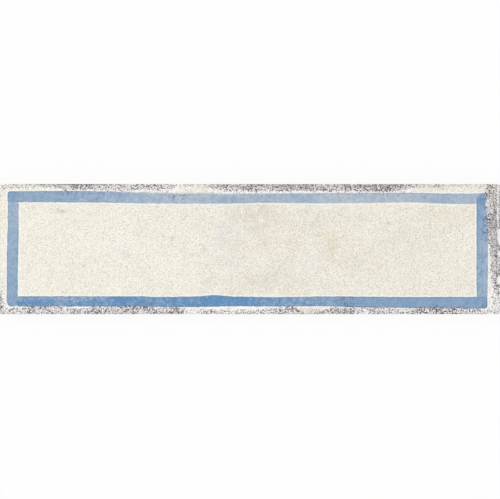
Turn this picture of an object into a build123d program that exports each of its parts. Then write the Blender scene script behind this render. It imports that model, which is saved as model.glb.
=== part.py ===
from build123d import *
import os

# A dry-pressed ceramic wall tile, lying on its back with the decorated face up.
# Millimetres. X runs along the tile, Y across it and Z up out of the face.
# The origin is the middle of the back, on the plane that beds into the adhesive.

# Format of the tile
tile_length = 250.0
tile_width = 65.0
tile_thickness = 9.0
corner_radius = 0.8  # in plan, at the four corners

# Cushioned face edge: the face curves down to the sides
cushion_run = 3.5  # how far in from the side the face starts to fall
cushion_fall = 0.45  # how far the face has fallen where it meets the side
nose_radius = 0.7  # rounds the arris between face and side

# Back bevel: the sides draw in to the back, which leaves room for adhesive in the joint
bevel_height = 2.6
bevel_inset = 1.0

# Keying pockets: a waffle pressed into the back, which the adhesive grips
pocket_columns = 12
pocket_rows = 3
pocket_depth = 0.9
pocket_draft = 35.0  # degrees that the pocket walls lean, so that the punch lifts out
pocket_corner_radius = 2.5  # in plan, on the back plane
rib_width = 2.4  # between two pockets, on the back plane
rim_width = 3.6  # between the pockets and the back bevel

# The back plane inside the bevel, and the pockets that share it
back_length = tile_length - 2 * bevel_inset
back_width = tile_width - 2 * bevel_inset
pocket_pitch_x = (back_length - 2 * rim_width + rib_width) / pocket_columns
pocket_pitch_y = (back_width - 2 * rim_width + rib_width) / pocket_rows
pocket_length = pocket_pitch_x - rib_width
pocket_width = pocket_pitch_y - rib_width


def edge_section(plane, span):
    """The tile's section across a span: back, bevel, upright side, cushioned edge and face."""
    side = span / 2
    side_top = tile_thickness - cushion_fall
    with BuildSketch(plane) as section:
        with BuildLine():
            Line((0, 0), (side - bevel_inset, 0))
            Line((side - bevel_inset, 0), (side, bevel_height))
            Line((side, bevel_height), (side, side_top))
            cushion = TangentArc(
                (side - cushion_run, tile_thickness), (side, side_top), tangent=(1, 0)
            )
            Line(cushion @ 0, (0, tile_thickness))
            mirror(about=Plane.YZ)
        make_face()
        sides = section.vertices().group_by(Axis.X)
        arrises = [side_ends.sort_by(Axis.Y)[-1] for side_ends in (sides[0], sides[-1])]
        fillet(arrises, radius=nose_radius)
    return section.sketch


with BuildPart() as wall_tile:
    # One edge runs round all four sides: the section across the tile, met by the one along it
    extrude(edge_section(Plane.YZ, tile_width), amount=tile_length / 2, both=True)
    extrude(
        edge_section(Plane.XZ, tile_length),
        amount=tile_width / 2,
        both=True,
        mode=Mode.INTERSECT,
    )

    # Plan outline with its small corner radius
    with BuildSketch():
        RectangleRounded(tile_length, tile_width, corner_radius)
    extrude(amount=tile_thickness, mode=Mode.INTERSECT)

    # Keying pockets, whose walls lean in towards a flat floor
    with BuildSketch():
        with GridLocations(pocket_pitch_x, pocket_pitch_y, pocket_columns, pocket_rows):
            RectangleRounded(pocket_length, pocket_width, pocket_corner_radius)
    extrude(amount=pocket_depth, taper=pocket_draft, mode=Mode.SUBTRACT)

wall_tile.part.label = "wall_tile"
os.makedirs("parts", exist_ok=True)
export_step(wall_tile.part, "parts/wall_tile.step")
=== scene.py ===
import math

import bpy
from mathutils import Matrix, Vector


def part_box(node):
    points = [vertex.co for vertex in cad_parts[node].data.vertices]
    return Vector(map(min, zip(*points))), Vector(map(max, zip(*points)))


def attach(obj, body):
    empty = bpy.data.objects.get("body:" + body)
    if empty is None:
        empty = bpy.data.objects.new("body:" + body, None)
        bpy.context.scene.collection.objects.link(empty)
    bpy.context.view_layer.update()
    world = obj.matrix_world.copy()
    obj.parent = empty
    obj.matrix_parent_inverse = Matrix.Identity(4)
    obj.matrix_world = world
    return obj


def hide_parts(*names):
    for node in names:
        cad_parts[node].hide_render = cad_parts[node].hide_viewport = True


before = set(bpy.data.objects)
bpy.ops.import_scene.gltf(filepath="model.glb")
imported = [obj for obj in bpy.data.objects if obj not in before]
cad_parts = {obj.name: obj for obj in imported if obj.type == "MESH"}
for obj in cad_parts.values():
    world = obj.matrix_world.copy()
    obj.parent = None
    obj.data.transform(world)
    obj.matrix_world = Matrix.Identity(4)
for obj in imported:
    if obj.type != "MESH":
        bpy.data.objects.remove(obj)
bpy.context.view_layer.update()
tileLow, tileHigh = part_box("wall_tile")
print("frame loaded:", sorted(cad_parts))

mm = 0.001
nearly = 0.01 * mm  # slack for picking by place
tileLength = tileHigh.x - tileLow.x
tileWidth = tileHigh.y - tileLow.y
tileThickness = tileHigh.z - tileLow.z
halfLength = tileLength / 2 / mm  # the patterns count in millimetres
halfWidth = tileWidth / 2 / mm


def deselectAll():
    if bpy.context.object and bpy.context.object.mode != "OBJECT":
        bpy.ops.object.mode_set(mode="OBJECT")
    bpy.ops.object.select_all(action="DESELECT")


def pick(piece, kind, test):  # goes into edit mode with just these vertices, edges or faces selected
    modes = {"vertices": "VERT", "edges": "EDGE", "polygons": "FACE"}
    bpy.ops.object.mode_set(mode="EDIT")
    bpy.ops.mesh.select_mode(type=modes[kind])
    bpy.ops.mesh.select_all(action="DESELECT")
    bpy.ops.object.mode_set(mode="OBJECT")
    for element in getattr(piece.data, kind):
        element.select = test(element)
    bpy.ops.object.mode_set(mode="EDIT")


def pickOpenEdges():
    bpy.ops.mesh.select_mode(type="EDGE")
    bpy.ops.mesh.select_all(action="DESELECT")
    bpy.ops.mesh.select_non_manifold(extend=False)


def applyModifiers(piece):
    bpy.context.view_layer.objects.active = piece
    for name in [modifier.name for modifier in piece.modifiers]:
        bpy.ops.object.modifier_apply(modifier=name)


# Node helpers: the same nodes go into materials and into the relief

def feed(tree, value, socket):  # a socket is linked, anything else becomes the fixed value
    if isinstance(value, bpy.types.NodeSocket):
        tree.links.new(value, socket)
    else:
        socket.default_value = value


def addNode(tree, kind, sockets=None, **settings):
    node = tree.nodes.new(kind)
    for name, value in settings.items():
        setattr(node, name, value)
    for key, value in (sockets or {}).items():
        feed(tree, value, node.inputs[key])
    return node


def calc(tree, operation, *values):
    return addNode(tree, "ShaderNodeMath", dict(enumerate(values)), operation=operation).outputs[0]


def largest(tree, values):
    total = values[0]
    for value in values[1:]:
        total = calc(tree, "MAXIMUM", total, value)
    return total


def ease(tree, value, start, end, low=0.0, high=1.0):  # low at start, high at end, smooth between
    sockets = {"Value": value, "From Min": start, "From Max": end, "To Min": low, "To Max": high}
    return addNode(tree, "ShaderNodeMapRange", sockets, interpolation_type="SMOOTHSTEP").outputs[0]


def vector(tree, operation, *values):
    node = addNode(tree, "ShaderNodeVectorMath", dict(enumerate(values)), operation=operation)
    return node.outputs["Value" if operation == "LENGTH" else "Vector"]


def split(tree, place):
    return addNode(tree, "ShaderNodeSeparateXYZ", {0: place}).outputs


def noise(tree, place, seed, perMm, detail=2.0, roughness=0.5):  # each seed is another pattern
    sockets = {"Vector": place, "W": seed, "Scale": perMm, "Detail": detail, "Roughness": roughness}
    return addNode(tree, "ShaderNodeTexNoise", sockets, noise_dimensions="4D").outputs[0]


def spot(tree, place, centre, reach, turn=0.0):  # 1 at the centre, 0 past a turned ellipse; any height
    offset = vector(tree, "SUBTRACT", place, (*centre, 0.0))
    sockets = {"Vector": offset, "Angle": -math.radians(turn)}
    turned = addNode(tree, "ShaderNodeVectorRotate", sockets, rotation_type="Z_AXIS").outputs[0]
    scaled = vector(tree, "MULTIPLY", turned, (1 / reach[0], 1 / reach[1], 0.0))
    return ease(tree, vector(tree, "LENGTH", scaled), 1.0, 0.0)


def specks(tree, place, perMm, rarity, size):  # round dots, in some of the cells of a loose grid
    cells = addNode(tree, "ShaderNodeTexVoronoi", {"Vector": place, "Scale": perMm}).outputs
    rare = ease(tree, split(tree, cells["Color"])[0], *rarity)
    return calc(tree, "MULTIPLY", ease(tree, cells["Distance"], *size), rare)


def along(tree, run, length, stops, interpolation="LINEAR"):  # stops are (mm along a side, level there)
    low = min(level for position, level in stops)
    span = max(level for position, level in stops) - low or 1.0
    node = addNode(tree, "ShaderNodeValToRGB", {0: calc(tree, "DIVIDE", run, length)})
    ramp = node.color_ramp
    ramp.interpolation = interpolation
    ramp.elements.remove(ramp.elements[1])
    for index, (position, level) in enumerate(stops):
        element = ramp.elements[0] if index == 0 else ramp.elements.new(position / length)
        element.position = position / length
        share = (level - low) / span
        element.color = (share, share, share, 1.0)
    return calc(tree, "MULTIPLY_ADD", node.outputs[0], span, low)


def mixColour(tree, factor, first, second, blend="MIX"):
    sockets = {0: factor, 6: first, 7: second}
    node = addNode(tree, "ShaderNodeMix", sockets, data_type="RGBA", blend_type=blend)
    return node.outputs[2]


def colour(red, green, blue):  # as seen on a screen, 0 to 255
    levels = [level / 255 for level in (red, green, blue)]
    linear = [v / 12.92 if v <= 0.04045 else ((v + 0.055) / 1.055) ** 2.4 for v in levels]
    return (*linear, 1.0)


def startGroup(name, treeType, inputs, outputs):  # sockets are given as name to type
    tree = bpy.data.node_groups.new(name, treeType)
    for direction, sockets in (("INPUT", inputs), ("OUTPUT", outputs)):
        for label, kind in sockets.items():
            tree.interface.new_socket(label, in_out=direction, socket_type="NodeSocket" + kind)
    return tree, tree.nodes.new("NodeGroupInput").outputs, tree.nodes.new("NodeGroupOutput").inputs


def useGroup(tree, group, sockets):
    node = addNode(tree, "ShaderNodeGroup", node_tree=group)
    for key, value in sockets.items():
        feed(tree, value, node.inputs[key])
    return node.outputs


# Body of the tile: face, cushioned edge, nose, sides and bevel

tileShape = {
    "cushionRun": 3.5 * mm,
    "cushionFall": 0.45 * mm,
    "noseRadius": 0.7 * mm,
    "noseSteps": 5,
    "cornerRadius": 0.8 * mm,
    "cornerSteps": 4,
    "sideRows": 3,
    "bevelHeight": 2.6 * mm,
    "bevelInset": 1.0 * mm,
    "faceCell": 0.9 * mm,  # mesh size on the face
    "edgeCuts": 2,  # finer mesh in the worn margin
    "edgeZone": 5.0 * mm,
    "edgeZoneRight": 6.6 * mm,
    "smoothAngle": math.radians(40),
}


def edgeSection(shape):  # rings from the face's rim down to the back: (inset from the side, height)
    run, fall, nose = shape["cushionRun"], shape["cushionFall"], shape["noseRadius"]
    cushionRadius = (run ** 2 + fall ** 2) / (2 * fall)
    reach = math.sqrt((cushionRadius - nose) ** 2 - (run - nose) ** 2)
    noseHeight = tileThickness - cushionRadius + reach
    startAngle = math.asin((run - nose) / (cushionRadius - nose))
    rings = []
    for step in range(shape["noseSteps"] + 1):
        turn = startAngle + (math.pi / 2 - startAngle) * step / shape["noseSteps"]
        rings.append((nose - nose * math.sin(turn), noseHeight + nose * math.cos(turn)))
    for row in range(1, shape["sideRows"] + 1):
        drop = (noseHeight - shape["bevelHeight"]) * row / shape["sideRows"]
        rings.append((0.0, noseHeight - drop))
    rings.append((shape["bevelInset"], 0.0))
    return rings


def modelTile(shape):
    rings = edgeSection(shape)
    rimInset, rimHeight = rings[0]
    faceLength = tileLength - 2 * rimInset
    faceWidth = tileWidth - 2 * rimInset

    deselectAll()
    bpy.ops.mesh.primitive_grid_add(
        x_subdivisions=round(faceLength / shape["faceCell"]),
        y_subdivisions=round(faceWidth / shape["faceCell"]),
        size=1,
    )
    tile = bpy.context.object
    tile.name = "glazed_tile"
    bpy.ops.object.mode_set(mode="EDIT")
    bpy.ops.transform.resize(value=(faceLength, faceWidth, 1), center_override=(0, 0, 0))
    bpy.ops.transform.translate(value=(0, 0, tileThickness))

    pick(tile, "vertices", lambda v: abs(v.co.x) > faceLength / 2 - nearly
         and abs(v.co.y) > faceWidth / 2 - nearly)
    bpy.ops.mesh.bevel(offset=shape["cornerRadius"], segments=shape["cornerSteps"], affect="VERTICES")

    zone, zoneRight = shape["edgeZone"], shape["edgeZoneRight"]
    pick(tile, "polygons", lambda f: abs(f.center.y) > tileWidth / 2 - zone
         or f.center.x < zone - tileLength / 2 or f.center.x > tileLength / 2 - zoneRight)
    bpy.ops.mesh.subdivide(number_cuts=shape["edgeCuts"])

    # The face falls to its rim, then the nose, the sides and the bevel are pulled out of the rim
    pickOpenEdges()
    bpy.ops.transform.translate(
        value=(0, 0, rimHeight - tileThickness),
        use_proportional_edit=True,
        proportional_edit_falloff="SHARP",
        proportional_size=shape["cushionRun"] - rimInset,
    )
    for (inset, height), (nextInset, nextHeight) in zip(rings, rings[1:]):
        bpy.ops.mesh.extrude_region_move(TRANSFORM_OT_translate={"value": (0, 0, nextHeight - height)})
        growLength = (tileLength - 2 * nextInset) / (tileLength - 2 * inset)
        growWidth = (tileWidth - 2 * nextInset) / (tileWidth - 2 * inset)
        bpy.ops.transform.resize(value=(growLength, growWidth, 1), center_override=(0, 0, 0))
    bpy.ops.object.mode_set(mode="OBJECT")
    return tile


# Back of the tile: a waffle of shallow pockets with leaning walls

waffle = {
    "columns": 12,
    "rows": 3,
    "depth": 0.9 * mm,
    "draft": math.radians(35),
    "cornerRadius": 2.5 * mm,
    "cornerSteps": 4,
    "rib": 2.4 * mm,
    "rim": 3.6 * mm,
    "floorSoftness": 0.35 * mm,
}


def modelPockets(waffle, bevelInset):
    backLength = tileLength - 2 * bevelInset
    backWidth = tileWidth - 2 * bevelInset
    pitchX = (backLength - 2 * waffle["rim"] + waffle["rib"]) / waffle["columns"]
    pitchY = (backWidth - 2 * waffle["rim"] + waffle["rib"]) / waffle["rows"]
    length, width = pitchX - waffle["rib"], pitchY - waffle["rib"]
    lean = waffle["depth"] * math.tan(waffle["draft"])
    firstX = -pitchX * (waffle["columns"] - 1) / 2
    firstY = -pitchY * (waffle["rows"] - 1) / 2

    deselectAll()
    bpy.ops.mesh.primitive_plane_add(size=1)
    pocket = bpy.context.object
    pocket.name = "pocket"
    bpy.ops.object.mode_set(mode="EDIT")
    bpy.ops.transform.resize(value=(length, width, 1), center_override=(0, 0, 0))
    bpy.ops.mesh.bevel(offset=waffle["cornerRadius"], segments=waffle["cornerSteps"], affect="VERTICES")
    bpy.ops.mesh.extrude_region_move(TRANSFORM_OT_translate={"value": (0, 0, waffle["depth"])})
    shrink = (1 - 2 * lean / length, 1 - 2 * lean / width, 1)
    bpy.ops.transform.resize(value=shrink, center_override=(0, 0, 0))

    pick(pocket, "polygons", lambda f: f.center.z < nearly)
    bpy.ops.mesh.delete(type="ONLY_FACE")  # the mouth is open
    pick(pocket, "polygons", lambda f: f.center.z > waffle["depth"] - nearly)
    bpy.ops.mesh.region_to_loop()
    bpy.ops.mesh.bevel(offset=waffle["floorSoftness"], segments=2, affect="EDGES")
    bpy.ops.mesh.select_all(action="SELECT")
    bpy.ops.transform.translate(value=(firstX, firstY, 0))
    bpy.ops.object.mode_set(mode="OBJECT")

    for name, count, step in (("columns", waffle["columns"], (pitchX, 0, 0)),
                              ("rows", waffle["rows"], (0, pitchY, 0))):
        array = pocket.modifiers.new(name, "ARRAY")
        array.count = count
        array.use_relative_offset = False
        array.use_constant_offset = True
        array.constant_offset_displace = step
    applyModifiers(pocket)
    return pocket


def closeBack(tile, pockets):
    deselectAll()
    pockets.select_set(True)
    tile.select_set(True)
    bpy.context.view_layer.objects.active = tile
    bpy.ops.object.join()
    bpy.ops.object.mode_set(mode="EDIT")
    pickOpenEdges()
    bpy.ops.mesh.fill(use_beauty=True)  # the ribs, between the outline and the pockets
    bpy.ops.mesh.select_all(action="SELECT")
    bpy.ops.mesh.normals_make_consistent(inside=False)
    bpy.ops.object.mode_set(mode="OBJECT")


# Worn margin: grit along the four sides, the same in the paint and in the relief

wornEdge = {
    "sides": {  # stops along each side: mm along it, share the grit covers, how far in it reaches
        "top": (
            (0, 0.52, 3.0), (6, 0.46, 2.6), (14, 0.44, 1.8), (22, 0.62, 1.8), (29, 0.72, 2.0),
            (33, 0.82, 3.2), (44, 0.80, 2.9), (55, 0.74, 3.5), (66, 0.56, 4.0), (71, 0.64, 3.0),
            (80, 0.72, 3.3), (84, 0.66, 2.8), (91, 0.40, 1.8), (103, 0.36, 1.6), (107, 0.52, 2.8),
            (112, 0.92, 3.7), (180, 0.94, 3.6), (190, 0.94, 3.9), (200, 0.94, 3.9), (204, 0.62, 3.2),
            (208, 0.60, 2.0), (220, 0.52, 1.8), (225, 0.34, 1.6), (242, 0.32, 1.7), (250, 0.50, 3.0),
        ),
        "bottom": (
            (0, 0.44, 3.2), (10, 0.55, 3.4), (16, 0.88, 4.0), (25, 0.80, 4.0), (30, 0.68, 3.8),
            (36, 0.70, 3.0), (43, 0.78, 3.2), (47, 0.88, 4.0), (52, 0.66, 3.6), (58, 0.80, 4.2),
            (73, 0.88, 4.0), (78, 0.74, 3.2), (88, 0.76, 3.7), (92, 0.45, 3.2), (96, 0.28, 2.3),
            (101, 0.46, 2.3), (107, 0.62, 2.5), (112, 0.40, 2.4), (126, 0.50, 2.4), (137, 0.70, 3.2),
            (148, 0.84, 3.9), (150, 1.00, 1.2), (160, 1.00, 1.2), (164, 0.74, 3.4), (176, 0.74, 3.6),
            (181, 0.48, 3.2), (188, 0.70, 3.4), (202, 0.44, 3.2), (212, 1.00, 3.4), (227, 0.92, 3.2),
            (238, 0.72, 2.9), (245, 0.40, 2.8),
        ),
        "left": (
            (0, 0.62, 3.4), (5, 0.66, 2.0), (9, 0.50, 1.8), (14, 0.22, 1.5), (20, 0.0, 1.5),
            (57, 0.0, 1.5), (62, 0.36, 2.0), (65, 0.42, 2.5),
        ),
        "right": (
            (0, 0.48, 5.0), (9, 0.42, 4.2), (12, 0.60, 3.4), (16, 0.74, 4.2), (22, 0.74, 5.0),
            (30, 0.72, 5.2), (35, 0.84, 5.8), (38, 1.0, 6.5), (48, 0.95, 6.6), (54, 0.88, 7.5),
            (59, 0.84, 7.5), (62, 0.70, 7.2), (65, 0.64, 7.3),
        ),
    },
    "rubbed": {  # where a side is rubbed more or less white than its grit says: mm along, how much
        "top": ((0, 0.25), (26, 0.3), (34, 1.0), (203, 1.0), (209, 0.3), (250, 0.3)),
        "bottom": ((88, 1.0), (95, 1.6), (135, 1.6), (142, 1.0)),
        "right": ((16, 1.0), (22, 0.5), (30, 0.5), (36, 1.0), (44, 1.0), (50, 0.4), (65, 0.3)),
    },
    "strays": 0.32,  # lone grains past the margin, in clusters
    "strayReach": 2.4,
    "fade": 1.0,
    "ragged": 1.6,  # how far the rubbed zone's edge wanders
    "paleReach": (4.0, -5.0),  # times the reach, plus mm: deep wear is rubbed pale further in
    "grainPerMm": 1.6,
    "grainLimit": 0.64,  # grain above this shows, and full wear lowers it by the drop
    "grainDrop": 0.28,
    "grainEdge": (-0.02, 0.035),
    "tonePerMm": 1.6,
    "toneDrift": 0.035,
    "loneDarker": 0.07,  # lone grains are the dark ones
    "patches": (  # across, up, reaches, how much further apart the tones lie, how much lighter
        (95.0, -31.0, 16.0, 7.0, 0.9, -0.07),
        (124.0, 4.0, 10.0, 44.0, -0.6, -0.005),
        (30.0, 32.0, 80.0, 8.0, -0.4, 0.004),
        (-5.0, -31.0, 34.0, 7.0, 1.4, -0.05),
        (92.0, 32.0, 18.0, 6.0, -0.4, 0.008),
        (121.0, 29.0, 9.0, 9.0, -0.2, 0.008),
    ),
    "sideFade": (5.0, 7.6),  # heights between which the wear thins out down the sides
    "sideShare": 0.3,  # what is left of it there
    "pitFade": (8.1, 8.6),  # heights between which the pits begin
    "pitDepth": 0.10,
    "pitTones": (0.60, 0.40),  # dark grit lies deepest, pale grit at the share below
    "paleDepth": 0.2,
    "sag": 0.06,  # slow unevenness of the glaze
}


def sideFrames(tree, place):  # for each side: how far in from it, how far along it, its length
    x, y = split(tree, place)[:2]
    fromLeft = calc(tree, "ADD", x, halfLength)
    fromBottom = calc(tree, "ADD", y, halfWidth)
    return {
        "top": (calc(tree, "SUBTRACT", halfWidth, y), fromLeft, 2 * halfLength),
        "bottom": (fromBottom, fromLeft, 2 * halfLength),
        "left": (fromLeft, fromBottom, 2 * halfWidth),
        "right": (calc(tree, "SUBTRACT", halfLength, x), fromBottom, 2 * halfWidth),
    }


def wearNodes(tree, place, frames, wear):
    amounts, scuffs = [], []
    clusters = ease(tree, noise(tree, place, 12.0, 0.1), 0.42, 0.58, 0.0, wear["strays"])
    ragged = noise(tree, place, 13.0, 0.6, 2.0, 0.7)
    ragged = ease(tree, ragged, 0.3, 0.7, -wear["ragged"], wear["ragged"])
    for name, stops in wear["sides"].items():
        inward, run, length = frames[name]
        cover = along(tree, run, length, [(position, share) for position, share, reach in stops])
        limit = along(tree, run, length, [(position, reach) for position, share, reach in stops])
        past = calc(tree, "SUBTRACT", inward, limit)
        amounts.append(calc(tree, "MULTIPLY", cover, ease(tree, past, wear["fade"], -wear["fade"])))
        strays = calc(tree, "MULTIPLY", cover, ease(tree, past, wear["strayReach"], wear["fade"] / 2))
        amounts.append(calc(tree, "MULTIPLY", strays, clusters))
        pale = calc(tree, "MULTIPLY_ADD", limit, *wear["paleReach"])
        pale = calc(tree, "MINIMUM", pale, calc(tree, "ADD", limit, 1.0))
        pale = calc(tree, "ADD", calc(tree, "SUBTRACT", inward, pale), ragged)
        pale = ease(tree, pale, wear["fade"], -wear["fade"])
        if name in wear["rubbed"]:
            pale = calc(tree, "MULTIPLY", pale, along(tree, run, length, wear["rubbed"][name]))
        scuffs.append(calc(tree, "MULTIPLY", cover, pale))
    onFace = ease(tree, split(tree, place)[2], *wear["sideFade"], wear["sideShare"], 1.0)
    amount = calc(tree, "MULTIPLY", largest(tree, amounts), onFace)
    scuffed = calc(tree, "MULTIPLY", largest(tree, scuffs), onFace)
    grain = noise(tree, place, 7.0, wear["grainPerMm"], 2.0, 0.75)
    needed = calc(tree, "MULTIPLY_ADD", amount, -wear["grainDrop"], wear["grainLimit"])
    over = ease(tree, calc(tree, "SUBTRACT", grain, needed), *wear["grainEdge"])
    grit = calc(tree, "MULTIPLY", over, ease(tree, amount, 0.02, 0.12))
    tone = noise(tree, place, 9.0, wear["tonePerMm"], 2.0, 0.7)
    tone = calc(tree, "ADD", tone, ease(tree, amount, 0.2, 0.9, -wear["loneDarker"], 0.0))
    drift = noise(tree, place, 10.0, 0.16)
    drift = ease(tree, drift, 0.3, 0.7, -wear["toneDrift"], wear["toneDrift"])
    tone = calc(tree, "ADD", tone, drift)
    spread, level = 1.0, 0.5
    for across, up, reachX, reachY, apart, lighter in wear["patches"]:
        patch = spot(tree, place, (across, up), (reachX, reachY))
        spread = calc(tree, "MULTIPLY_ADD", patch, apart, spread)
        level = calc(tree, "MULTIPLY_ADD", patch, lighter, level)
    tone = calc(tree, "MULTIPLY_ADD", calc(tree, "SUBTRACT", tone, 0.5), spread, level)
    return scuffed, grit, tone


def carveFace(tile, wear):
    tree, inputs, outputs = startGroup(
        "faceRelief", "GeometryNodeTree", {"Geometry": "Geometry"}, {"Geometry": "Geometry"})
    tree.is_modifier = True
    position = addNode(tree, "GeometryNodeInputPosition").outputs[0]
    place = vector(tree, "MULTIPLY", position, (1 / mm,) * 3)
    grit, tone = wearNodes(tree, place, sideFrames(tree, place), wear)[1:]
    onFace = ease(tree, split(tree, place)[2], *wear["pitFade"])
    pits = calc(tree, "MULTIPLY", grit, ease(tree, tone, *wear["pitTones"], wear["paleDepth"], 1.0))
    sag = calc(tree, "MULTIPLY", noise(tree, place, 11.0, 0.05), wear["sag"] * mm)
    depth = calc(tree, "MULTIPLY_ADD", pits, wear["pitDepth"] * mm, sag)
    lower = calc(tree, "MULTIPLY", calc(tree, "MULTIPLY", depth, onFace), -1.0)
    offset = addNode(tree, "ShaderNodeCombineXYZ", {"Z": lower}).outputs[0]
    moved = addNode(tree, "GeometryNodeSetPosition", {"Geometry": inputs["Geometry"], "Offset": offset})
    tree.links.new(moved.outputs[0], outputs["Geometry"])
    modifier = tile.modifiers.new("faceRelief", "NODES")
    modifier.node_group = tree
    applyModifiers(tile)


# Chips flaked off the right-hand end

chips = {
    "places": (  # along the end, how far in, half length, how deep, seed
        (6.0, 1.4, 4.4, 0.55, 1),
        (-2.5, 1.3, 1.5, 0.50, 2),
        (-15.5, 1.9, 2.1, 0.65, 3),
    ),
    "roughness": 0.07,
    "noseDrop": 1.0 * mm,  # the nose lies this far below the face
}


def knockChips(tile, chips, freshMaterial):
    for across, inward, halfSpan, depth, seed in chips["places"]:
        deselectAll()
        bpy.ops.mesh.primitive_ico_sphere_add(subdivisions=4, radius=1)
        flake = bpy.context.object
        flake.data.materials.append(freshMaterial)
        bpy.ops.object.mode_set(mode="EDIT")
        bpy.ops.transform.vertex_random(offset=chips["roughness"], seed=seed)
        size = (inward * mm, halfSpan * mm, depth * mm + chips["noseDrop"])
        bpy.ops.transform.resize(value=size, center_override=(0, 0, 0))
        bpy.ops.transform.translate(value=(tileHigh.x, across * mm, tileHigh.z))
        bpy.ops.object.mode_set(mode="OBJECT")
        cut = tile.modifiers.new("chip", "BOOLEAN")
        cut.operation = "DIFFERENCE"
        cut.solver = "MANIFOLD"
        cut.material_mode = "TRANSFER"
        cut.object = flake
        applyModifiers(tile)
        bpy.data.objects.remove(flake)


# Bare fired body: pale buff and slightly sandy; a fresh break is almost white

bareBody = {
    "pale": colour(236, 228, 213),
    "deep": colour(222, 210, 190),
    "fresh": colour(250, 249, 246),
    "ironSpeck": colour(160, 130, 98),
    "ribDust": colour(243, 239, 230),
    "cloudPerMm": 0.09,
    "sandPerMm": 2.2,
    "sandLevels": (0.92, 1.04),
    "ironPerMm": 0.35,
    "ironRare": (0.62, 0.66),  # only cells above this have a speck
    "ironSize": (0.14, 0.05),
    "ironStrength": 0.7,
    "roughness": 0.88,
    "shine": 0.3,
    "bump": 0.4,
    "bumpDepth": 0.08 * mm,
}


def makeBodyGroup(look):
    inputs = {"Place": "Vector", "Fresh": "Float"}
    outputs = {"Color": "Color", "Height": "Float"}
    tree, given, result = startGroup("bareBody", "ShaderNodeTree", inputs, outputs)
    place = given["Place"]
    height = split(tree, place)[2]
    cloud = noise(tree, place, 21.0, look["cloudPerMm"], 3.0, 0.6)
    sand = noise(tree, place, 22.0, look["sandPerMm"], 2.0, 0.7)
    base = mixColour(tree, ease(tree, cloud, 0.3, 0.7), look["pale"], look["deep"])
    base = mixColour(tree, given["Fresh"], base, look["fresh"])
    base = mixColour(tree, 1.0, base, ease(tree, sand, 0.3, 0.7, *look["sandLevels"]), "MULTIPLY")
    dots = specks(tree, place, look["ironPerMm"], look["ironRare"], look["ironSize"])
    base = mixColour(tree, calc(tree, "MULTIPLY", dots, look["ironStrength"]), base, look["ironSpeck"])
    onRibs = ease(tree, height, 0.25, 0.02)
    dusty = calc(tree, "MULTIPLY", onRibs, ease(tree, cloud, 0.35, 0.6, 0.35, 0.9))
    tree.links.new(mixColour(tree, dusty, base, look["ribDust"]), result["Color"])
    tree.links.new(sand, result["Height"])
    return tree


# Cream glaze: a clouded ground with fine speckle and a few faint stains

creamGlaze = {
    "left": colour(247, 243, 231),
    "right": colour(244, 239, 227),
    "leftFade": (-40.0, 0.0),
    "warm": colour(238, 227, 207),
    "lilac": colour(230, 226, 223),
    "dull": colour(227, 220, 208),
    "frost": colour(250, 249, 243),
    "ochre": colour(222, 212, 190),
    "stain": colour(216, 198, 180),
    "speck": colour(176, 168, 154),
    "grainPerMm": 2.9,
    "grainLevels": (0.69, 1.10),
    "speckPerMm": 0.6,
    "speckRare": (0.4, 0.9),
    "speckSize": (0.24, 0.10),
    "speckStrength": 0.7,
    "clouds": (  # seed, how fine, tint, strength
        (31.0, 0.085, "warm", 0.38),
        (34.0, 0.12, "lilac", 0.20),
        (36.0, 0.1, "dull", 0.32),
    ),
    "cloudCentre": (20.0, 0.0),  # the clouds are strongest here and fall to the least share
    "cloudReach": (100.0, 100.0),
    "cloudLeast": 0.35,
    "marks": (  # across, up, half length, half height, turn, tint, strength
        (-97.5, 19.9, 4.5, 1.4, 0, "stain", 0.70),
        (-93.5, 18.9, 4.5, 1.5, 0, "stain", 0.75),
        (-105.5, 20.9, 3.0, 1.8, 0, "stain", 0.40),
        (-64.0, 3.5, 5.0, 5.0, 0, "frost", 0.55),
        (-61.0, -3.3, 2.5, 3.0, 0, "ochre", 0.45),
        (-66.0, -7.5, 4.0, 4.0, 0, "frost", 0.45),
        (-44.0, 7.5, 6.0, 6.0, 0, "frost", 0.55),
        (-39.2, 5.2, 2.5, 2.5, 0, "stain", 0.40),
        (-22.2, -0.8, 2.5, 4.5, 30, "ochre", 0.75),
        (-21.5, -16.5, 7.5, 2.6, 42, "lilac", 0.85),
        (-13.0, 10.5, 7.0, 10.0, -20, "lilac", 0.60),
        (-15.5, 3.5, 5.0, 4.5, 30, "lilac", 0.60),
        (-5.0, -6.5, 8.0, 5.0, 35, "lilac", 0.40),
        (0.3, -15.4, 1.8, 6.0, 20, "stain", 0.35),
        (3.0, 16.5, 17.0, 11.0, 0, "dull", 1.00),
        (7.5, 18.0, 10.0, 7.0, 0, "ochre", 0.25),
        (7.3, 3.0, 4.5, 7.0, 20, "stain", 0.28),
        (10.0, -16.0, 22.0, 9.0, 0, "dull", 0.55),
        (22.0, 4.0, 7.0, 7.0, 45, "dull", 0.45),
        (32.0, 12.9, 2.2, 1.2, 40, "speck", 0.60),
        (33.5, 15.8, 4.0, 1.6, 66, "speck", 0.40),
        (69.2, 12.8, 2.2, 1.5, 0, "speck", 0.45),
        (41.0, -0.5, 8.0, 13.0, 15, "ochre", 0.55),
        (55.0, -6.0, 14.0, 9.0, -30, "ochre", 0.30),
        (82.0, 3.0, 26.0, 15.0, 0, "dull", 0.35),
        (102.0, 17.5, 24.0, 10.0, 0, "ochre", 0.40),
    ),
}


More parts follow.
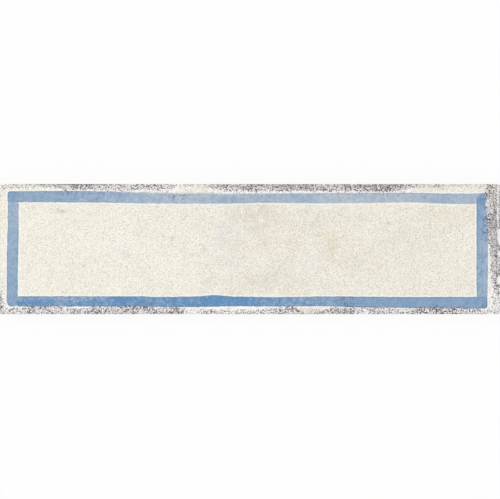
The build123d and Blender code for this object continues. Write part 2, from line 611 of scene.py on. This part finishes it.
def makeGlazeGroup(look):
    tree, inputs, outputs = startGroup(
        "creamGlaze", "ShaderNodeTree", {"Place": "Vector"}, {"Color": "Color", "Grain": "Float"})
    place = inputs["Place"]
    x = split(tree, place)[0]
    ground = mixColour(tree, ease(tree, x, *look["leftFade"]), look["left"], look["right"])
    clouded = spot(tree, place, look["cloudCentre"], look["cloudReach"])
    clouded = calc(tree, "MULTIPLY_ADD", clouded, 1.0 - look["cloudLeast"], look["cloudLeast"])
    for seed, perMm, tint, strength in look["clouds"]:
        cloud = ease(tree, noise(tree, place, seed, perMm, 3.0, 0.6), 0.46, 0.66)
        veil = calc(tree, "MULTIPLY", calc(tree, "MULTIPLY", cloud, clouded), strength)
        ground = mixColour(tree, veil, ground, look[tint])
    for across, up, reachX, reachY, turn, tint, strength in look["marks"]:
        mark = spot(tree, place, (across, up), (reachX, reachY), turn)
        broken = ease(tree, noise(tree, place, across, 0.3), 0.3, 0.6, 0.0, strength)
        ground = mixColour(tree, calc(tree, "MULTIPLY", mark, broken), ground, look[tint])
    dots = specks(tree, place, look["speckPerMm"], look["speckRare"], look["speckSize"])
    ground = mixColour(tree, calc(tree, "MULTIPLY", dots, look["speckStrength"]), ground, look["speck"])
    tree.links.new(ground, outputs["Color"])
    grain = noise(tree, place, 33.0, look["grainPerMm"], 0.0)
    tree.links.new(ease(tree, grain, 0.28, 0.62, *look["grainLevels"]), outputs["Grain"])
    return tree


# Blue border: four overlapping brush strokes of a thin wash

border = {
    "wash": colour(95, 144, 190),
    "halo": colour(243, 249, 249),
    "haloStrength": 0.85,
    "haloInner": (0.0, 0.25),  # mm outside the stroke's edge where the halo starts, and where it ends
    "haloOuter": (0.8, 0.45),
    "rim": colour(122, 138, 152),
    "rimInner": (-0.75, -0.35),
    "rimOuter": (0.1, -0.15),
    "ragged": 0.9,  # how far a stroke's edge wanders
    "streakPerMm": (1.1, 0.1),  # across the stroke and along it
    "streaks": 0.03,  # how much the wash varies by streaks, pools, speckle and pale flecks
    "pools": 0.14,
    "speckle": 0.1,
    "flecks": 0.25,
    "grainHidden": 0.15,  # share of the glaze's grain that full wash hides
    "overlap": 0.05,  # how much stronger the wash is where the left stroke crosses the top one
    "crossing": 0.15,  # how much of the rim's colour shows where the right stroke crosses the top one
    "grit": colour(70, 94, 125),
    "gritty": (  # where dark grit shows through the wash: across, up, reaches
        (-90.5, 28.0, 8.0, 2.0),
        (-35.5, 27.0, 10.0, 3.6),
        (74.7, 27.8, 5.5, 1.8),
        (117.6, 11.5, 2.6, 10.0),
        (118.3, -12.2, 1.4, 1.6),
        (117.6, -28.4, 2.6, 2.4),
        (48.5, -26.7, 9.0, 4.0),
    ),
    "strokes": {  # each list holds (mm along the side, value); lean: how much thinner the high half is
        "top": {
            "upright": False, "ends": (-121.0, 118.2), "round": 0.7, "slant": 0.0, "soft": 0.36,
            "high": ((12, 28.9), (40, 29.1), (62, 28.6), (75, 28.3), (84, 28.05), (92, 27.7), (102, 27.95),
                     (115, 27.8), (150, 28.0), (205, 28.15), (224, 27.7), (236, 27.7), (240, 27.9),
                     (244, 27.95)),
            "low": ((12, 23.4), (38, 23.3), (60, 23.05), (80, 22.7), (116, 22.7), (130, 23.05),
                    (165, 22.8), (205, 23.2), (224, 22.6), (240, 22.5)),
            "wash": ((8, 0.79), (50, 0.75), (75, 0.66), (92, 0.58), (105, 0.65), (117, 0.67), (124, 0.61),
                     (150, 0.64), (158, 0.60), (165, 0.55), (200, 0.57), (219, 0.66), (238, 0.60)),
            "lean": ((0, 0.0),),
            "mottle": ((0, 0.5), (34, 0.5), (40, 0.75), (68, 0.7), (80, 0.6), (205, 0.6), (220, 0.45)),
            "rimHigh": ((8, 1.0), (22, 1.0), (30, 0.6), (60, 0.4), (72, 0.0), (150, 0.0), (210, 0.5)),
            "rimLow": ((8.5, 0.15), (10, 0.55), (55, 0.55), (70, 0.0)),
            "fuzz": ((62, 0.0), (72, 0.55), (105, 0.55), (120, 0.45), (150, 0.15), (165, 0.0)),
        },
        "bottom": {
            "upright": False, "ends": (-116.6, 118.5), "round": 1.1, "slant": 0.0, "soft": 0.2,
            "high": ((8, -23.55), (70, -23.6), (80, -23.85), (100, -23.6), (107, -23.0), (116, -23.65),
                     (140, -23.95), (165, -23.65), (190, -23.9), (243, -23.9)),
            "low": ((8, -28.7), (70, -28.85), (84, -29.0), (102, -28.9), (115, -28.6), (140, -28.7),
                    (163, -28.6), (180, -29.2), (210, -29.4), (225, -29.6), (243, -29.8)),
            "wash": ((4, 0.92), (9, 0.98), (29, 0.94), (46, 0.94), (54, 0.98), (86, 0.97), (105, 1.03),
                     (122, 1.04), (127, 1.0), (132, 0.98), (137, 0.90), (145, 0.83), (219, 0.84)),
            "lean": ((8, 0.13), (28, 0.11), (46, 0.08), (54, 0.0)),
            "mottle": ((0, 0.8), (30, 0.85), (38, 1.0), (95, 1.1), (125, 0.95), (160, 0.8), (185, 0.4),
                       (250, 0.3)),
            "rimHigh": ((160, 0.6), (180, 0.9)),
            "rimLow": ((160, 0.55), (180, 1.0)),
            "fuzz": ((0, 0.0),),
        },
        "left": {
            "upright": True, "ends": (-28.6, 28.7), "round": 1.3, "slant": 0.0, "soft": 0.2,
            "high": ((0, -116.0), (20, -115.95), (33, -115.65), (45, -115.5), (65, -115.5)),
            "low": ((3, -120.6), (6, -121.4), (22, -121.45), (34, -121.3), (46, -120.95), (65, -121.0)),
            "wash": ((0, 0.82), (8, 0.79), (25, 0.78), (50, 0.70), (58, 0.71)),
            "lean": ((0, 0.0),),
            "mottle": ((0, 0.5), (20, 0.4), (65, 0.45)),
            "rimHigh": ((8.5, 0.0), (10, 0.6), (55, 0.6), (56.5, 0.2)),
            "rimLow": ((0, 0.55),),
            "fuzz": ((0, 0.0),),
        },
        "right": {
            "upright": True, "ends": (-29.4, 27.9), "round": 0.8, "slant": 0.8, "soft": 0.22,
            "high": ((0, 118.5), (15, 118.75), (28, 118.95), (48, 118.8), (53.5, 117.85), (56.5, 117.75),
                     (58.5, 118.35), (65, 118.4)),
            "low": ((0, 113.35), (10, 113.2), (20, 113.1), (65, 113.1)),
            "wash": ((0, 0.74), (20, 0.75), (33, 0.78), (40, 0.81), (45, 0.82), (52, 0.88), (55, 0.92),
                     (58, 0.90), (60, 0.84)),
            "lean": ((5, 0.04), (15, 0.06), (47, 0.07), (53, 0.0)),
            "mottle": ((0, 0.45), (16, 0.5), (24, 0.9), (32, 0.8), (42, 0.4), (52, 0.7), (65, 0.7)),
            "rimHigh": ((50, 0.0), (53, 0.6)),
            "rimLow": ((0, 0.55),),
            "fuzz": ((0, 0.0),),
        },
    },
}


def makeStrokeGroup(look):
    inputs = ("Along", "Across", "High", "Low", "Start", "End", "Round", "Slant", "Soft", "Fuzz",
              "RimHigh", "RimLow", "Seed")
    sockets = {"Place": "Vector"} | {name: "Float" for name in inputs}
    outputs = {"Wash": "Float", "HighHalf": "Float", "Rim": "Float", "Halo": "Float"}
    tree, given, result = startGroup("brushStroke", "ShaderNodeTree", sockets, outputs)
    ragged = calc(tree, "SUBTRACT", noise(tree, given["Place"], given["Seed"], 0.5, 3.0, 0.6), 0.5)
    sideGap = calc(tree, "MAXIMUM", calc(tree, "SUBTRACT", given["Across"], given["High"]),
                   calc(tree, "SUBTRACT", given["Low"], given["Across"]))
    sideGap = calc(tree, "MULTIPLY_ADD", ragged, look["ragged"], sideGap)
    middle = calc(tree, "MULTIPLY", calc(tree, "ADD", given["High"], given["Low"]), 0.5)
    below = calc(tree, "MAXIMUM", calc(tree, "SUBTRACT", middle, given["Across"]), 0.0)
    pastEnd = calc(tree, "SUBTRACT", given["Along"], given["End"])
    pastEnd = calc(tree, "MULTIPLY_ADD", below, given["Slant"], pastEnd)
    endGap = calc(tree, "MAXIMUM", calc(tree, "SUBTRACT", given["Start"], given["Along"]), pastEnd)
    endGap = calc(tree, "MULTIPLY_ADD", ragged, look["ragged"], endGap)
    radius = given["Round"]
    outX = calc(tree, "MAXIMUM", calc(tree, "ADD", sideGap, radius), 0.0)
    outY = calc(tree, "MAXIMUM", calc(tree, "ADD", endGap, radius), 0.0)
    squares = calc(tree, "ADD", calc(tree, "MULTIPLY", outX, outX), calc(tree, "MULTIPLY", outY, outY))
    rounded = calc(tree, "SUBTRACT", calc(tree, "SQRT", squares), radius)
    inner = calc(tree, "MAXIMUM", sideGap, endGap)
    inner = calc(tree, "MINIMUM", inner, calc(tree, "MULTIPLY", radius, -1.0))
    gap = calc(tree, "MAXIMUM", rounded, inner)  # mm outside the stroke's edge, negative inside
    high = calc(tree, "GREATER_THAN", given["Across"], middle)
    fromMiddle = calc(tree, "SUBTRACT", given["Across"], middle)
    tree.links.new(ease(tree, fromMiddle, -0.2, 1.4), result["HighHalf"])
    fuzz = calc(tree, "MULTIPLY", high, given["Fuzz"])
    soft = calc(tree, "ADD", given["Soft"], fuzz)
    tree.links.new(ease(tree, gap, soft, calc(tree, "MULTIPLY", soft, -1.0)), result["Wash"])
    rim = calc(tree, "MULTIPLY", ease(tree, gap, *look["rimInner"]), ease(tree, gap, *look["rimOuter"]))
    darker = addNode(tree, "ShaderNodeMix", {0: high, 2: given["RimLow"], 3: given["RimHigh"]}).outputs[0]
    tree.links.new(calc(tree, "MULTIPLY", rim, darker), result["Rim"])
    halo = ease(tree, gap, *look["haloInner"])
    halo = calc(tree, "MULTIPLY", halo, ease(tree, gap, *look["haloOuter"]))
    halo = calc(tree, "MULTIPLY", halo, ease(tree, fuzz, 0.0, 0.5, 1.0, 0.1))  # a fuzzy edge has none
    tree.links.new(halo, result["Halo"])
    return tree


def paintBorder(tree, place, ground, look, strokeGroup, grain):
    x, y = split(tree, place)[:2]
    fine, coarse = look["streakPerMm"]

    def vary(seed, perMm, detail, amount, grid=place):  # between minus and plus the amount
        return ease(tree, noise(tree, grid, seed, perMm, *detail), 0.3, 0.7, -amount, amount)

    washes, rims, halos, masks = [], [], [], {}
    for index, (name, stroke) in enumerate(look["strokes"].items()):
        upright = stroke["upright"]
        run, side = (y, x) if upright else (x, y)
        length = 2 * (halfWidth if upright else halfLength)
        fromStart = calc(tree, "ADD", run, length / 2)
        brush = useGroup(tree, strokeGroup, {
            "Place": place,
            "Along": run,
            "Across": side,
            "High": along(tree, fromStart, length, stroke["high"], "CARDINAL"),
            "Low": along(tree, fromStart, length, stroke["low"], "CARDINAL"),
            "Start": stroke["ends"][0],
            "End": stroke["ends"][1],
            "Round": stroke["round"],
            "Slant": stroke["slant"],
            "Soft": stroke["soft"],
            "Fuzz": along(tree, fromStart, length, stroke["fuzz"]),
            "RimHigh": along(tree, fromStart, length, stroke["rimHigh"]),
            "RimLow": along(tree, fromStart, length, stroke["rimLow"]),
            "Seed": 40.0 + index,
        })
        mottle = along(tree, fromStart, length, stroke["mottle"])
        grid = (fine, coarse, 1.0) if upright else (coarse, fine, 1.0)
        combed = vector(tree, "MULTIPLY", place, grid)
        streaks = vary(50.0 + index, 1.0, (2.0, 0.6), look["streaks"], combed)
        pooled = vary(60.0 + index, 0.35, (3.0, 0.6), look["pools"])
        spread = calc(tree, "MULTIPLY", calc(tree, "ADD", streaks, pooled), mottle)
        speckle = vary(70.0 + index, 1.5, (1.0,), look["speckle"])
        speckle = calc(tree, "MULTIPLY", speckle, ease(tree, mottle, 0.35, 1.0))
        flecks = ease(tree, noise(tree, place, 80.0 + index, 1.3, 0.0), 0.66, 0.75)
        flecks = calc(tree, "MULTIPLY", flecks, ease(tree, mottle, 0.55, 0.85, 0.0, -look["flecks"]))
        lean = calc(tree, "MULTIPLY", brush["HighHalf"], along(tree, fromStart, length, stroke["lean"]))
        strength = along(tree, fromStart, length, stroke["wash"])
        strength = calc(tree, "SUBTRACT", strength, lean)
        for change in (spread, speckle, flecks):
            strength = calc(tree, "ADD", strength, change)
        masks[name] = brush["Wash"]
        washes.append(calc(tree, "MULTIPLY", brush["Wash"], strength))
        rims.append(brush["Rim"])
        halos.append(brush["Halo"])
    covered = largest(tree, list(masks.values()))
    doubled = calc(tree, "MULTIPLY", masks["top"], masks["left"])
    wash = calc(tree, "MULTIPLY_ADD", doubled, look["overlap"], largest(tree, washes))
    painted = mixColour(tree, wash, ground, look["wash"])
    crossed = calc(tree, "MULTIPLY", masks["top"], masks["right"])
    rims.append(calc(tree, "MULTIPLY", crossed, look["crossing"]))
    dried = calc(tree, "MULTIPLY", largest(tree, rims), wash)
    painted = mixColour(tree, dried, painted, look["rim"])
    zones = [spot(tree, place, zone[:2], zone[2:]) for zone in look["gritty"]]
    grains = ease(tree, noise(tree, place, 93.0, 1.3, 1.0, 0.6), 0.54, 0.61)
    gritty = calc(tree, "MULTIPLY", ease(tree, largest(tree, zones), 0.0, 0.5), grains)
    gritty = calc(tree, "MULTIPLY", gritty, wash)
    painted = mixColour(tree, gritty, painted, look["grit"])
    grained = calc(tree, "MULTIPLY_ADD", wash, -look["grainHidden"], 1.0)
    painted = mixColour(tree, grained, painted, grain, "MULTIPLY")
    bright = calc(tree, "MULTIPLY", largest(tree, halos), calc(tree, "SUBTRACT", 1.0, covered))
    bright = calc(tree, "MULTIPLY", bright, look["haloStrength"])
    return mixColour(tree, bright, painted, look["halo"]), covered


# Colours of the worn margin, and the fine lines along its arris, among them a painted highlight and
# painted shade

wornLookAndArrisLight = {
    "chalk": colour(251, 250, 248),
    "light": colour(245, 240, 241),
    "mid": colour(176, 170, 175),
    "midTop": colour(180, 172, 171),
    "dark": colour(72, 66, 69),
    "chalkStrength": 0.95,
    "darkToMid": (0.42, 0.50),  # tones of the grit
    "midToLight": (0.50, 0.58),
    "topFade": (0.0, 25.0),
    "lines": (  # side, from, to, how far in, half width, tone, strength
        # painted shade: the two dark lines along the top edge, where the nose turns down
        ("top", 18, 60, 0.3, 0.5, "dark", 0.6),
        ("top", 104, 206, 0.9, 1.1, "dark", 0.18),
        # painted highlight along the right arris, in the chalk colour; the two dark lines after it are
        # only darker lines further in
        ("right", 40, 65, 1.15, 0.55, "chalk", 0.85),
        ("right", 15, 34, 1.9, 0.45, "dark", 0.5),
        ("right", 36, 66, 2.6, 1.3, "dark", 0.18),
    ),
}


def paintWearAndArrisLight(tree, place, painted, covered, look, frames, wear):
    scuffed, grit, tone = wear
    patches = ease(tree, noise(tree, place, 91.0, 0.5, 2.0, 0.6), 0.28, 0.42)
    chalk = calc(tree, "MULTIPLY", ease(tree, scuffed, 0.25, 0.45), patches)
    chalk = calc(tree, "MULTIPLY", chalk, calc(tree, "SUBTRACT", 1.0, covered))
    wornAndArrisLit = mixColour(tree, calc(tree, "MULTIPLY", chalk, look["chalkStrength"]), painted, look["chalk"])
    atTop = ease(tree, split(tree, place)[1], *look["topFade"])
    mid = mixColour(tree, atTop, look["mid"], look["midTop"])
    shade = mixColour(tree, ease(tree, tone, *look["darkToMid"]), look["dark"], mid)
    shade = mixColour(tree, ease(tree, tone, *look["midToLight"]), shade, look["light"])
    wornAndArrisLit = mixColour(tree, grit, wornAndArrisLit, shade)
    broken = ease(tree, noise(tree, place, 92.0, 0.7), 0.36, 0.5)
    # lines along the arris: a painted highlight and painted shade among them
    for side, start, end, depth, half, toneName, strength in look["lines"]:
        inward, run, length = frames[side]
        offset = calc(tree, "ABSOLUTE", calc(tree, "SUBTRACT", inward, depth))
        stretch = calc(tree, "MULTIPLY", ease(tree, run, start - 1.0, start + 1.0),
                       ease(tree, run, end + 1.0, end - 1.0))
        mark = calc(tree, "MULTIPLY", ease(tree, offset, half, half * 0.4), stretch)
        mark = calc(tree, "MULTIPLY", calc(tree, "MULTIPLY", mark, broken), strength)
        wornAndArrisLit = mixColour(tree, mark, wornAndArrisLit, look[toneName])
    return wornAndArrisLit


# Materials

def startMaterial(name):
    material = bpy.data.materials.new(name)
    material.use_nodes = True
    tree = material.node_tree
    coords = addNode(tree, "ShaderNodeTexCoord").outputs["Object"]
    place = vector(tree, "MULTIPLY", coords, (1 / mm,) * 3)
    return material, tree, tree.nodes["Principled BSDF"], place


def addBump(tree, shader, height, strength, depth):
    bump = addNode(tree, "ShaderNodeBump", {"Strength": strength, "Distance": depth, "Height": height})
    feed(tree, bump.outputs[0], shader.inputs["Normal"])


glazeFinish = {
    "glazeEnd": (7.4, 7.8),  # height, with the wander below, at which the glaze ends on the sides
    "glazeWander": 4.0,
    "roughness": 0.45,
    "gritRoughness": 0.20,  # added where grit lies
    "bareRoughness": 0.4,  # added below the glaze
    "shine": 0.35,
    "bump": 0.25,
    "bumpDepth": 0.04 * mm,
}


def makeGlazeMaterial(finish, bodyGroup):
    material, tree, shader, place = startMaterial("paintedGlaze")
    glaze = useGroup(tree, makeGlazeGroup(creamGlaze), {"Place": place})
    body = useGroup(tree, bodyGroup, {"Place": place, "Fresh": 0.0})
    frames = sideFrames(tree, place)
    wear = wearNodes(tree, place, frames, wornEdge)
    painted, covered = paintBorder(
        tree, place, glaze["Color"], border, makeStrokeGroup(border), glaze["Grain"])
    # the worn margin, with the painted highlight and painted shade along its arris
    wornAndArrisLit = paintWearAndArrisLight(tree, place, painted, covered, wornLookAndArrisLight, frames, wear)

    # The glaze runs a little way down the sides and ends in an uneven line
    height = split(tree, place)[2]
    uneven = noise(tree, place, 81.0, 0.12, 3.0, 0.6)
    drip = calc(tree, "MULTIPLY_ADD", uneven, finish["glazeWander"], height)
    glazed = ease(tree, drip, *finish["glazeEnd"])
    feed(tree, mixColour(tree, glazed, body["Color"], wornAndArrisLit), shader.inputs["Base Color"])

    grit = wear[1]
    rough = calc(tree, "MULTIPLY_ADD", grit, finish["gritRoughness"], finish["roughness"])
    bare = calc(tree, "SUBTRACT", 1.0, glazed)
    rough = calc(tree, "MULTIPLY_ADD", bare, finish["bareRoughness"], rough)
    feed(tree, rough, shader.inputs["Roughness"])
    shader.inputs["Specular IOR Level"].default_value = finish["shine"]
    addBump(tree, shader, glaze["Grain"], finish["bump"], finish["bumpDepth"])
    return material


def makeBodyMaterial(name, look, bodyGroup, fresh):
    material, tree, shader, place = startMaterial(name)
    body = useGroup(tree, bodyGroup, {"Place": place, "Fresh": fresh})
    feed(tree, body["Color"], shader.inputs["Base Color"])
    shader.inputs["Roughness"].default_value = look["roughness"]
    shader.inputs["Specular IOR Level"].default_value = look["shine"]
    addBump(tree, shader, body["Height"], look["bump"], look["bumpDepth"])
    return material


bodyGroup = makeBodyGroup(bareBody)
glazeMaterial = makeGlazeMaterial(glazeFinish, bodyGroup)
biscuitMaterial = makeBodyMaterial("bareBiscuit", bareBody, bodyGroup, fresh=0.0)
chipMaterial = makeBodyMaterial("freshChip", bareBody, bodyGroup, fresh=0.95)
print("materials made")

tile = modelTile(tileShape)
print("face and sides:", len(tile.data.polygons), "faces")
closeBack(tile, modelPockets(waffle, tileShape["bevelInset"]))
print("back closed:", len(tile.data.polygons), "faces")
tile.data.materials.append(glazeMaterial)
tile.data.materials.append(biscuitMaterial)
pick(tile, "polygons", lambda f: f.center.z < tileShape["bevelHeight"] - nearly)
tile.active_material_index = 1
bpy.ops.object.material_slot_assign()
bpy.ops.object.mode_set(mode="OBJECT")
carveFace(tile, wornEdge)
print("face carved")
knockChips(tile, chips, chipMaterial)
print("chips knocked out:", len(tile.data.polygons), "faces")
deselectAll()
tile.select_set(True)
bpy.context.view_layer.objects.active = tile
bpy.ops.object.shade_smooth_by_angle(angle=tileShape["smoothAngle"])
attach(tile, "root")
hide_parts("wall_tile")


# Studio: pale floor, soft lights and the camera straight above

studio = {
    "floorSize": 4.0,
    "floorGap": 0.05 * mm,
    "floorColour": (0.95, 0.95, 0.95, 1.0),
    "floorGlow": 0.85,  # share of the floor that is seen as plain white; the rest keeps the shadow
    "white": (1.0, 1.0, 1.0, 1.0),
    "fill": 0.72,
    "lamps": (  # place, size, power
        ((-0.7, 0.5, 1.1), 0.9, 4.4),
        ((0.8, -0.4, 1.0), 0.9, 2.9),
    ),
    "lens": 250.0,
    "sensor": 36.0,
    "centre": (0.0, -0.21 * mm),
    "seenWidth": 249.8 * mm,  # what the frame's width takes in, at the height of the tile's outline
    "outlineHeight": 8.0 * mm,
}


def seenDirectly(tree):  # camera, mirror and glass rays see plain white
    path = addNode(tree, "ShaderNodeLightPath").outputs
    return largest(tree, [path["Is Camera Ray"], path["Is Glossy Ray"], path["Is Transmission Ray"]])


def makeFloor(studio):
    deselectAll()
    bpy.ops.mesh.primitive_plane_add(size=studio["floorSize"], location=(0, 0, -studio["floorGap"]))
    floor = bpy.context.object
    floor.name = "floor"
    material = bpy.data.materials.new("paleFloor")
    material.use_nodes = True
    tree = material.node_tree
    tree.nodes.clear()
    matt = addNode(tree, "ShaderNodeBsdfDiffuse", {"Color": studio["floorColour"]})
    glow = addNode(tree, "ShaderNodeEmission", {"Color": studio["white"], "Strength": 1.0})
    share = calc(tree, "MULTIPLY", seenDirectly(tree), studio["floorGlow"])
    mix = addNode(tree, "ShaderNodeMixShader", {0: share, 1: matt.outputs[0], 2: glow.outputs[0]})
    addNode(tree, "ShaderNodeOutputMaterial", {"Surface": mix.outputs[0]})
    floor.data.materials.append(material)


def lightStudio(studio):
    world = bpy.data.worlds.new("softRoom")
    bpy.context.scene.world = world
    world.use_nodes = True
    tree = world.node_tree
    tree.nodes.clear()
    white = studio["white"]
    fill = addNode(tree, "ShaderNodeBackground", {"Color": white, "Strength": studio["fill"]})
    seen = addNode(tree, "ShaderNodeBackground", {"Color": white, "Strength": 1.0})
    mix = addNode(tree, "ShaderNodeMixShader",
                  {0: seenDirectly(tree), 1: fill.outputs[0], 2: seen.outputs[0]})
    addNode(tree, "ShaderNodeOutputWorld", {"Surface": mix.outputs[0]})
    for place, size, power in studio["lamps"]:
        deselectAll()
        bpy.ops.object.light_add(type="AREA", location=place)
        lamp = bpy.context.object
        lamp.data.size = size
        lamp.data.energy = power
        lamp.rotation_euler = lamp.location.to_track_quat("Z", "Y").to_euler()  # aimed at the tile


def placeCamera(studio):
    deselectAll()
    distance = studio["seenWidth"] * studio["lens"] / studio["sensor"]
    place = (*studio["centre"], studio["outlineHeight"] + distance)
    bpy.ops.object.camera_add(location=place, rotation=(0, 0, 0))
    camera = bpy.context.object
    camera.data.lens = studio["lens"]
    camera.data.sensor_width = studio["sensor"]
    bpy.context.scene.camera = camera


makeFloor(studio)
lightStudio(studio)
placeCamera(studio)
bpy.context.scene.view_settings.view_transform = "Standard"
print("studio ready")
